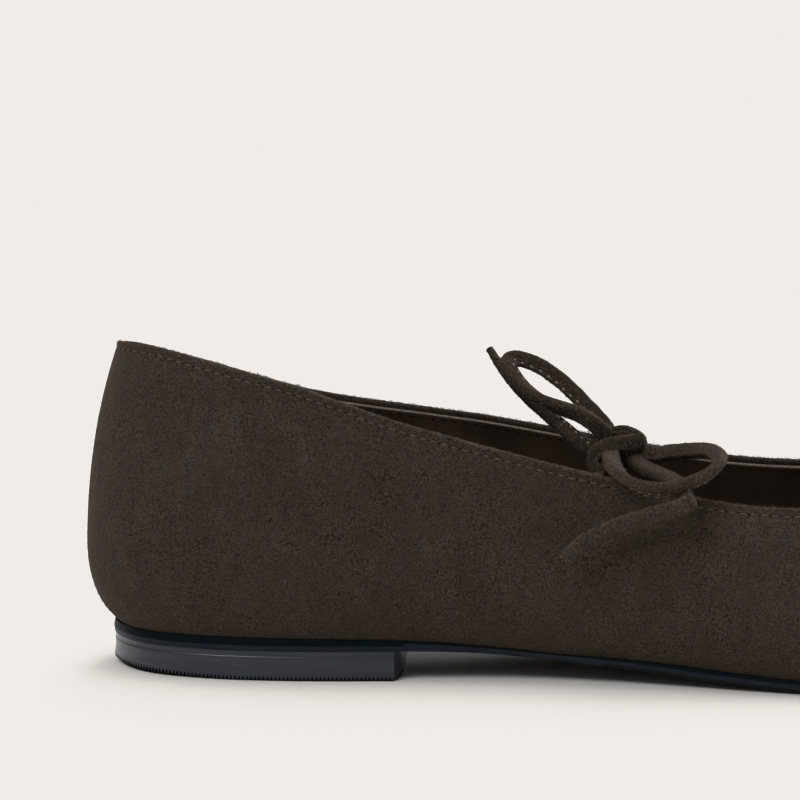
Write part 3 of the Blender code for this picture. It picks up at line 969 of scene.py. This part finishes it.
def make_sole(settings):
    """The thin sole: its edge is nearly square over the heel and bevelled ahead of it.

    The edge is inked dark; its lower half is painted paler and bluer as a reflection of the light:
    one band over the heel, more of it ahead of the heel, and most of it along the waist.
    """
    tread, lower, top = (smooth_ring(ring, 4) for ring in level_loops("outsole", SHARP_SOLE))
    top = lined_up(top, lower)
    tread = lined_up(tread, lower)
    out = ring_outward(lower)
    height = (top - lower)[:, 2:3] - over_the_sole(lower)[:, None]
    past_heel = np.clip((lower[:, 0] - breast_place()) / BEVEL_REACH, 0.0, 1.0)[:, None]
    bevel = 0.15 + 0.85 * past_heel * past_heel * (3.0 - 2.0 * past_heel)
    rings = [tread + (lower - tread) * np.array((1.0, 1.0, 0.0)) * (1.0 - bevel)]
    for inset, share in ((0.55, 0.55), (0.16, 0.86), (0.0, 1.0)):
        base = tread + (lower - tread) * (1.0 - inset * bevel)
        base[:, 2] = tread[:, 2] + (lower[:, 2] - tread[:, 2]) * share
        rings.append(base)
    for share, proud in ((0.25, 0.0), (0.5, -0.07), (0.75, -0.14), (1.0, -0.22)):
        ring = lower + out * proud * MM
        ring[:, 2:3] = lower[:, 2:3] + height * share
        rings.append(ring)
    # Dark ink on the edge's upper half, partly its own colour and partly painted shade under the
    # suede; paler, bluer ink on its lower half as a painted reflection; the tread's black on the
    # bevel.
    edge = ink_material("sole_shaded_edge_ink", settings.shaded_edge_ink, 0.45, 0.0006, 0.0, 0.04)
    painted_reflection = ink_material("sole_edge_painted_reflection", settings.painted_reflection_ink, 0.42, 0.0006, 0.0, 0.12)
    below = tread_material("sole_tread", settings.tread)
    marks = [1, 1, 2, 2, 2, 0, 0]
    piece = solid_from_rings("sole", rings, [edge, below, painted_reflection], marks, 1, 0, math.radians(40))
    painted_reflection_end = PAINTED_REFLECTION_END * MM + HEEL_BACK
    breast = breast_place()
    # Behind the painted reflection's end the bevel takes the painted reflection too, and over the
    # heel the edge's lower half takes the dark ink.
    for index, face in enumerate(piece.data.polygons):
        row = index // len(lower)
        if row < 2 and face.center.x < painted_reflection_end:
            face.material_index = 2
        elif row in (3, 4) and face.center.x < breast:
            face.material_index = 0
    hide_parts("outsole")


def breast_place():
    """How far forward the heel block's breast reaches."""
    return max(corner[0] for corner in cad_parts["heel"].bound_box)


def heel_loops():
    """The heel block's lowest and highest outlines."""
    shape = welded("heel")
    loops = []
    for height in (min(vert.co.z for vert in shape.verts), max(vert.co.z for vert in shape.verts)):
        level = sharp_loops(shape, SHARP_SOLE,
                            lambda edge: all(abs(vert.co.z - height) < WELD for vert in edge.verts))
        loops.append(from_the_back(as_points(level[0])))
    shape.free()
    return loops


def corner_places(ring):
    """Where the breast's two corners lie in a heel outline."""
    along = unit(np.roll(ring, -1, axis=0) - ring)
    turn = (along * np.roll(along, 1, axis=0)).sum(axis=1)
    return sorted(np.argsort(turn)[:2])


def resampled_heel(ring, around_count, breast_count):
    """The outline at even steps: round the back from corner to corner, then over the breast."""
    first, second = corner_places(ring)
    back = np.concatenate((ring[second:], ring[:first + 1]))
    breast = ring[first:second + 1]
    back = even_line(smooth_line(back, 6), around_count + 1)
    breast = even_line(smooth_line(breast, 6), breast_count + 1)
    return np.concatenate((back[:-1], breast[:-1]))


def make_heel(settings):
    """The low heel block: inked side, fine bead, saw-tooth lower edge over a dark base, partly
    painted shade.
    """
    low, high = heel_loops()
    teeth = int(round(lengths_along(low)[-1] / settings.tooth_pitch))
    around_count = teeth * STEPS_PER_TOOTH
    low = resampled_heel(low, around_count, BREAST_STEPS)
    high = resampled_heel(high, around_count, BREAST_STEPS)
    out = ring_outward(low)
    rise = high[:, 2].mean() - low[:, 2].mean()
    steps = np.arange(len(low))
    zigzag = np.abs(((steps / STEPS_PER_TOOTH) % 1.0) * 2.0 - 1.0)
    tuck = np.clip(1.0 - (low[:, 0] - low[:, 0].min()) / HEEL_TUCK_REACH, 0.0, 1.0)
    teeth_line = BASE_HEIGHT + BASE_HEIGHT_GAIN * tuck ** 1.5 + zigzag * settings.tooth_height
    foot = low - out * (FOOT_INSET + FOOT_INSET_GAIN * tuck)[:, None] * MM
    base_top = np.array(foot)
    base_top[:, 2] += teeth_line
    edge = low + (high - low) * np.array((1.0, 1.0, 0.0)) * flare(EDGE_SHARE)
    edge[:, 2] += teeth_line
    rings = [foot, base_top, edge]
    round_the_back = (steps < around_count)[:, None]
    for share in (EDGE_SHARE, 0.36, 0.45, 0.55, 0.65, 0.74, 0.79, 0.82, 0.85, 0.90, 1.0):
        ring = low + (high - low) * flare(share) + out * bead(share) * round_the_back
        ring[:, 2] = low[:, 2] + rise * share
        rings.append(ring)
    lip = low + (high - low) * 0.30
    lip[:, 2] = low[:, 2] + rise + HEEL_LIP
    rings.append(lip)
    side = ink_material("heel_ink", settings.heel_ink, 0.34, 0.0011, 0.2, 0.40)
    # The base is darker than the tread: partly a dark top piece, partly painted shade under the
    # heel's back.
    base = tread_material("heel_base_and_shade", [part * 0.4 for part in settings.tread])
    rings = np.array(rings)
    rows, columns = rings.shape[:2]
    marks = [1] * (2 * columns) + [0] * ((rows - 3) * columns) + [1, 0]
    piece = new_piece("heel_block", rings.reshape(-1, 3), tube_faces(rows, columns), [side, base],
                      marks)
    turn_faces_out(piece, math.radians(35))
    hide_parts("heel")


def flare(share):
    """How far the side has moved from the lower outline to the upper one at a height."""
    return 0.38 * share * (2.0 - share)


def bead(share):
    """A fine bead below the sole's edge."""
    return 0.13 * MM * math.exp(-((share - 0.82) / 0.03) ** 2)


def make_sock(settings):
    """The sock lining over the insole, with a soft rolled edge."""
    low, high = (smooth_ring(ring, 4) for ring in level_loops("insole", SHARP_SOLE))
    low = lined_up(low, high)
    out = ring_outward(high)
    rings = [low, low + (high - low) * 0.5]
    for inset, drop in ((0.0, 0.35), (0.12, 0.12), (0.45, 0.0)):
        ring = high - out * inset * MM
        ring[:, 2] -= drop * MM
        rings.append(ring)
    leather = lining_material("sock_leather", settings.lining)
    piece = solid_from_rings("sock_lining", rings, [leather], [0] * (len(rings) - 1), 0, 0,
                             math.radians(45))
    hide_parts("insole")


def lace_frames(line, facings):
    """Broad and narrow directions of a lace, its narrow one turned to each facing in turn."""
    along = unit(np.gradient(line, axis=0))
    shares = lengths_along(line) / lengths_along(line)[-1]
    narrow = np.array(facings[0][1], dtype=float)
    carried = []
    for tangent in along:
        narrow = narrow - tangent * narrow.dot(tangent)
        narrow = narrow / np.linalg.norm(narrow)
        carried.append(narrow.copy())
    carried = np.array(carried)
    broad = np.cross(along, carried)
    turns = [0.0]
    for share, facing in facings[1:]:
        place = int(np.argmin(np.abs(shares - share)))
        turn = math.atan2(np.dot(facing, broad[place]), np.dot(facing, carried[place]))
        whole_turns = round((turns[-1] - turn) / (2.0 * math.pi))
        turns.append(turn + whole_turns * 2.0 * math.pi)
    turn = np.interp(shares, [share for share, _ in facings], turns)[:, None]
    return (broad * np.cos(turn) - carried * np.sin(turn),
            carried * np.cos(turn) + broad * np.sin(turn))


def lace_mesh(line, facings, settings, edge=1, taper=0.0):
    """Points and faces of a folded lace along a line, with cut ends, and its two directions."""
    broad, narrow = lace_frames(line, facings)
    broad = broad * edge
    sides = len(LACE_OUTLINE)
    points = []
    for index, place in enumerate(line):
        slim = 1.0 - taper * (index / (len(line) - 1)) ** 1.5
        swell = 1.0 + 0.06 * noise.noise(Vector(place) / 0.0045)
        slack = 0.10 * MM * noise.noise(Vector(place) / 0.003 + Vector((7.0, 3.0, 1.0)))
        for x, y in LACE_OUTLINE:
            spot = (place + broad[index] * (x * settings.width * swell + slack) * slim
                    + narrow[index] * y * settings.thickness / swell * slim)
            fluff = 0.05 * MM * noise.noise(Vector(spot) / 0.0009)
            points.append(spot + unit(spot - place) * fluff)
    return np.array(points), tube_faces(len(line), sides), broad, narrow


def route_line(route):
    """Even points along the smooth line through a route."""
    points = np.array([tuple(last_point(*point)) for point in route])
    fine = smooth_line(points, 24)
    return even_line(fine, max(12, int(lengths_along(fine)[-1] / ROUTE_STEP)))


def lace_fuzz(name, points, line, count, tips):
    """Short fibres all over a lace."""
    grid = points.reshape(len(line), -1, 3)
    return fibres(name, grid, unit(grid - line[:, None]), 0.0, count, NAP_LENGTH, len(line), tips,
                  "lace")


def lace_stitches(name, line, broad, narrow, settings, material):
    """The stitches that close the folded lace, on one of its broad sides."""
    path = line + broad * settings.width * 0.28 + narrow * settings.thickness * 0.41
    inside = slice(6, -6)
    return stitched(name, path[inside], narrow[inside], settings.stitch_pitch,
                    settings.stitch_pitch * LACE_STITCH_SHARE, LACE_STITCH_RADIUS, material, False)


def make_knot(settings, suede, tips):
    """The knot: the lace's windings, joined into one piece, and the fibres on each."""
    blocks = []
    fuzz = []
    faces = []
    start = 0
    centre = np.array(last_point(*KNOT_CENTRE))
    for name, wrap in KNOT_WRAPS.items():
        line = route_line(wrap)
        facings = [(share, unit(line[round(share * (len(line) - 1))] - centre))
                   for share in (0.0, 0.25, 0.5, 0.75, 1.0)]
        points, wrap_faces, _, _ = lace_mesh(line, facings, settings)
        fuzz.append(lace_fuzz("knot_" + name + "_fuzz", points, line, KNOT_FIBRES, tips))
        faces += [tuple(start + corner for corner in face) for face in wrap_faces]
        start += len(points)
        blocks.append(points)
    knot = new_piece("bow_knot_wraps", np.concatenate(blocks), faces, [suede])
    turn_faces_out(knot, math.radians(60))
    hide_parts("bow_knot")
    return [knot] + fuzz


def make_laces(settings):
    """The lace across the throat and the bow's knot, loops and ends."""
    suede = suede_material("lace_suede", settings.lace, 0.00040, 0.003)
    # A lighter copy of the lace for the bow's front loop and front end: painted light where they
    # face the light.
    lit_lace_suede = suede_material("lace_suede_painted_lit", [part * 1.25 for part in settings.lace],
                             0.00040, 0.003)
    tips = suede_material("lace_nap", [part * 3.6 for part in settings.lace], 0.0009, 0.003)
    thread = thread_material("lace_thread", settings.thread)

    tie = route_line((TIE_ENDS[0],) + TIE_ROUTE + (TIE_ENDS[1],))
    facings = ((0.0, (-0.4, 0.0, 1.0)), (1.0, (0.0, 0.0, 1.0)))
    points, faces, _, _ = lace_mesh(tie, facings, settings)
    piece = new_piece("throat_lace", points, faces, [suede])
    turn_faces_out(piece, math.radians(60))
    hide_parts("tie")

    knot = make_knot(settings, suede, tips)
    for name, route in BOW_ROUTES.items():
        facings, edge, taper, length, far_end = BOW_FACTS[name]
        line = route_line(with_knot_ends(route, far_end == "knot"))
        points, faces, broad, narrow = lace_mesh(line, facings, settings, edge, taper)
        cord = new_piece(name + "_lace", points, faces, [lit_lace_suede if "front" in name else suede])
        turn_faces_out(cord, math.radians(60))
        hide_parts(name)
        fuzz = lace_fuzz(name + "_fuzz", points, line, LACE_FIBRES, tips)
        stitches = lace_stitches(name + "_stitches", line, broad, narrow, settings, thread)


def with_knot_ends(route, both):
    """The route with a first point just inside the knot, and a last one too for a loop."""
    centre = np.array(KNOT_CENTRE)
    inside = [tuple(centre + (np.array(route[end]) - centre) * KNOT_DEPTH) for end in (0, -1)]
    return (inside[0],) + tuple(route) + ((inside[1],) if both else ())


# Stage

def make_floor(settings):
    """The wide pale floor."""
    mesh = bpy.data.meshes.new("studio_floor")
    corners = [(x * FLOOR_REACH, y * FLOOR_REACH, 0.0)
               for x, y in ((-1, -1), (1, -1), (1, 1), (-1, 1))]
    mesh.from_pydata(corners, [], [(0, 1, 2, 3)])
    mesh.materials.append(floor_material(settings.floor))
    floor = bpy.data.objects.new("studio_floor", mesh)
    bpy.context.scene.collection.objects.link(floor)


def make_lights():
    """A pale room with large soft boxes above, before and behind the shoe."""
    world = bpy.data.worlds.new("studio_air")
    world.use_nodes = True
    background = world.node_tree.nodes["Background"]
    background.inputs["Color"].default_value = (1.0, 0.975, 0.955, 1.0)
    background.inputs["Strength"].default_value = 0.38
    bpy.context.scene.world = world
    for name, (place, size, power) in SOFT_BOXES.items():
        light = bpy.data.lights.new(name, "AREA")
        light.shape = "RECTANGLE"
        light.size, light.size_y = size
        light.energy = power
        lamp = bpy.data.objects.new(name, light)
        lamp.location = place
        aim = Vector(LIGHT_TARGET) - Vector(place)
        lamp.rotation_euler = aim.to_track_quat("-Z", "Y").to_euler()
        bpy.context.scene.collection.objects.link(lamp)


def make_camera(settings):
    """The camera at a low, slightly raised side view."""
    camera = bpy.data.cameras.new("camera")
    camera.sensor_width = 36.0
    camera.lens = camera.sensor_width * settings.distance / settings.field
    camera.clip_start = 0.05
    camera.clip_end = 100.0
    eye = bpy.data.objects.new("camera", camera)
    bpy.context.scene.collection.objects.link(eye)
    target = last_point(*CAMERA_TARGET)
    level = math.cos(settings.elevation) * settings.distance
    away = Vector((level * math.sin(settings.azimuth), -level * math.cos(settings.azimuth),
                   settings.distance * math.sin(settings.elevation)))
    eye.location = target + away
    eye.rotation_euler = (-away).to_track_quat("-Z", "Y").to_euler()
    bpy.context.scene.camera = eye
    level_whites(bpy.context.scene.view_settings)


def level_whites(view):
    """Plain colours, with the brightest tones levelled to the even pale grey of the floor."""
    view.view_transform = "Standard"
    view.use_curve_mapping = True
    curves = view.curve_mapping
    curves.extend = "HORIZONTAL"
    for curve, white in zip(curves.curves, FLOOR_WHITE):
        curve.points[0].location = (0.0, 0.0)
        curve.points[-1].location = (1.0, white)
        for place, value in ((0.55, 0.55), (0.74, 0.5 * (0.71 + white)), (0.86, white - 0.006)):
            curve.points.new(place, min(value, white))
    curves.update()


# Operators

SHARED = {}


def shared_wall():
    """The upper's wall, worked out once."""
    if "wall" not in SHARED:
        SHARED["wall"] = Wall()
    return SHARED["wall"]


class FLAT_OT_stage(bpy.types.Operator):
    """Set up the camera, the pale floor and the soft lights"""
    bl_idname = "flat.stage"
    bl_label = "Stage"

    def execute(self, context):
        settings = context.scene.flat_stage
        make_camera(settings)
        make_floor(settings)
        make_lights()
        return {"FINISHED"}


class FLAT_OT_laces(bpy.types.Operator):
    """Make the throat lace and the bow"""
    bl_idname = "flat.laces"
    bl_label = "Lace and bow"

    def execute(self, context):
        make_laces(context.scene.flat_lace)
        return {"FINISHED"}


class FLAT_OT_upper(bpy.types.Operator):
    """Make the suede upper with its turned-in top edge"""
    bl_idname = "flat.upper"
    bl_label = "Suede upper"

    def execute(self, context):
        make_suede(shared_wall(), context.scene.flat_upper)
        make_back_seam(shared_wall())
        make_nap(shared_wall(), context.scene.flat_upper)
        return {"FINISHED"}


class FLAT_OT_lining(bpy.types.Operator):
    """Make the lining and the sock lining"""
    bl_idname = "flat.lining"
    bl_label = "Lining"

    def execute(self, context):
        make_lining(shared_wall(), context.scene.flat_upper)
        make_sock(context.scene.flat_upper)
        return {"FINISHED"}


class FLAT_OT_stitching(bpy.types.Operator):
    """Sew the row of stitches round the top edge"""
    bl_idname = "flat.stitching"
    bl_label = "Top stitching"

    def execute(self, context):
        make_stitching(shared_wall(), context.scene.flat_upper)
        return {"FINISHED"}


class FLAT_OT_sole(bpy.types.Operator):
    """Make the sole and the heel block"""
    bl_idname = "flat.sole"
    bl_label = "Sole and heel"

    def execute(self, context):
        make_sole(context.scene.flat_sole)
        make_heel(context.scene.flat_sole)
        return {"FINISHED"}


OPERATORS = (FLAT_OT_stage, FLAT_OT_laces, FLAT_OT_upper, FLAT_OT_lining, FLAT_OT_stitching,
             FLAT_OT_sole)


class FLAT_PT_panel(bpy.types.Panel):
    """The pieces of the shoe and their settings"""
    bl_label = "Ballet flat"
    bl_idname = "FLAT_PT_panel"
    bl_space_type = "VIEW_3D"
    bl_region_type = "UI"
    bl_category = "Ballet flat"

    def draw(self, context):
        for group in ("flat_stage", "flat_upper", "flat_sole", "flat_lace"):
            settings = getattr(context.scene, group)
            box = self.layout.box()
            for name in settings.__annotations__:
                box.prop(settings, name)
        for operator in OPERATORS:
            self.layout.operator(operator.bl_idname)


SETTINGS = {
    "flat_stage": FlatStageSettings,
    "flat_upper": FlatUpperSettings,
    "flat_sole": FlatSoleSettings,
    "flat_lace": FlatLaceSettings,
}
CLASSES = tuple(SETTINGS.values()) + OPERATORS + (FLAT_PT_panel,)


def register():
    for item in CLASSES:
        bpy.utils.register_class(item)
    for name, group in SETTINGS.items():
        setattr(bpy.types.Scene, name, PointerProperty(type=group))


def unregister():
    for name in SETTINGS:
        delattr(bpy.types.Scene, name)
    for item in reversed(CLASSES):
        bpy.utils.unregister_class(item)


def main():
    """Make every piece."""
    register()
    bpy.ops.flat.stage()
    bpy.ops.flat.laces()
    bpy.ops.flat.upper()
    bpy.ops.flat.lining()
    bpy.ops.flat.stitching()
    bpy.ops.flat.sole()
    bpy.context.view_layer.update()


if __name__ == "__main__":
    main()
